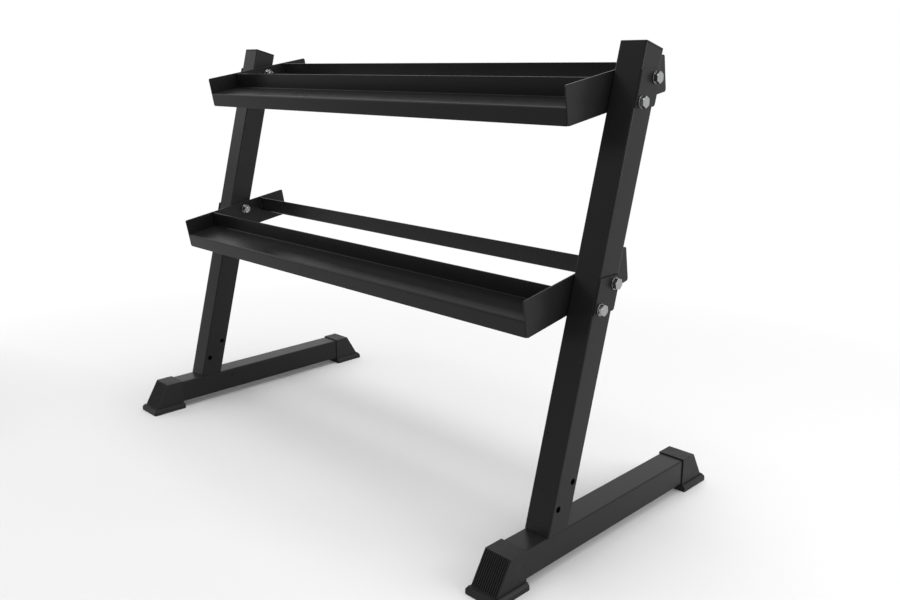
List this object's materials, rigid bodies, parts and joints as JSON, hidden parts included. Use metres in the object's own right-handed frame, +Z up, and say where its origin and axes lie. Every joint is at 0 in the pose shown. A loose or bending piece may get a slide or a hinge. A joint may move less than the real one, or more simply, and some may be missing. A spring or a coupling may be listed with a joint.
{
  "type": "dumbbell rack",
  "caption": "Free-standing dumbbell rack: leaning square-tube uprights on floor tubes with moulded feet carry bolted-on, forward-sloping shelves made of bent sheet rails.",
  "frame": {"origin": "on the floor, under the middle of the rack's bounding box", "axes": "+X towards the right-hand end seen from the front, +Y towards the back (the high side of the shelves), +Z up"},
  "size_m": [1.1486, 0.6176, 0.8329],
  "materials": {
    "powder_coat": "satin black powder coat on steel",
    "foot_rubber": "matt black moulded rubber",
    "plug_plastic": "matt black moulded plastic",
    "zinc_plate": "bright zinc plate"
  },
  "bodies": {
    "root": {"foot_tube_left": "powder_coat", "upright_left": "powder_coat", "upright_plug_left": "plug_plastic", "foot_cap_front_left": "foot_rubber", "foot_cap_rear_left": "foot_rubber", "foot_tube_right": "powder_coat", "upright_right": "powder_coat", "upright_plug_right": "plug_plastic", "foot_cap_front_right": "foot_rubber", "foot_cap_rear_right": "foot_rubber", "lower_front_rail": "powder_coat", "lower_rear_rail": "powder_coat", "lower_side_plate_left": "powder_coat", "lower_clamp_plate_left": "powder_coat", "bolt_lower_low_left": "zinc_plate", "nut_lower_low_left": "zinc_plate", "outer_washer_lower_low_left": "zinc_plate", "inner_washer_lower_low_left": "zinc_plate", "bolt_lower_high_left": "zinc_plate", "nut_lower_high_left": "zinc_plate", "outer_washer_lower_high_left": "zinc_plate", "inner_washer_lower_high_left": "zinc_plate", "lower_side_plate_right": "powder_coat", "lower_clamp_plate_right": "powder_coat", "bolt_lower_low_right": "zinc_plate", "nut_lower_low_right": "zinc_plate", "outer_washer_lower_low_right": "zinc_plate", "inner_washer_lower_low_right": "zinc_plate", "bolt_lower_high_right": "zinc_plate", "nut_lower_high_right": "zinc_plate", "outer_washer_lower_high_right": "zinc_plate", "inner_washer_lower_high_right": "zinc_plate", "upper_front_rail": "powder_coat", "upper_rear_rail": "powder_coat", "upper_side_plate_left": "powder_coat", "upper_clamp_plate_left": "powder_coat", "bolt_upper_low_left": "zinc_plate", "nut_upper_low_left": "zinc_plate", "outer_washer_upper_low_left": "zinc_plate", "inner_washer_upper_low_left": "zinc_plate", "bolt_upper_high_left": "zinc_plate", "nut_upper_high_left": "zinc_plate", "outer_washer_upper_high_left": "zinc_plate", "inner_washer_upper_high_left": "zinc_plate", "upper_side_plate_right": "powder_coat", "upper_clamp_plate_right": "powder_coat", "bolt_upper_low_right": "zinc_plate", "nut_upper_low_right": "zinc_plate", "outer_washer_upper_low_right": "zinc_plate", "inner_washer_upper_low_right": "zinc_plate", "bolt_upper_high_right": "zinc_plate", "nut_upper_high_right": "zinc_plate", "outer_washer_upper_high_right": "zinc_plate", "inner_washer_upper_high_right": "zinc_plate"}
  },
  "joints": []
}
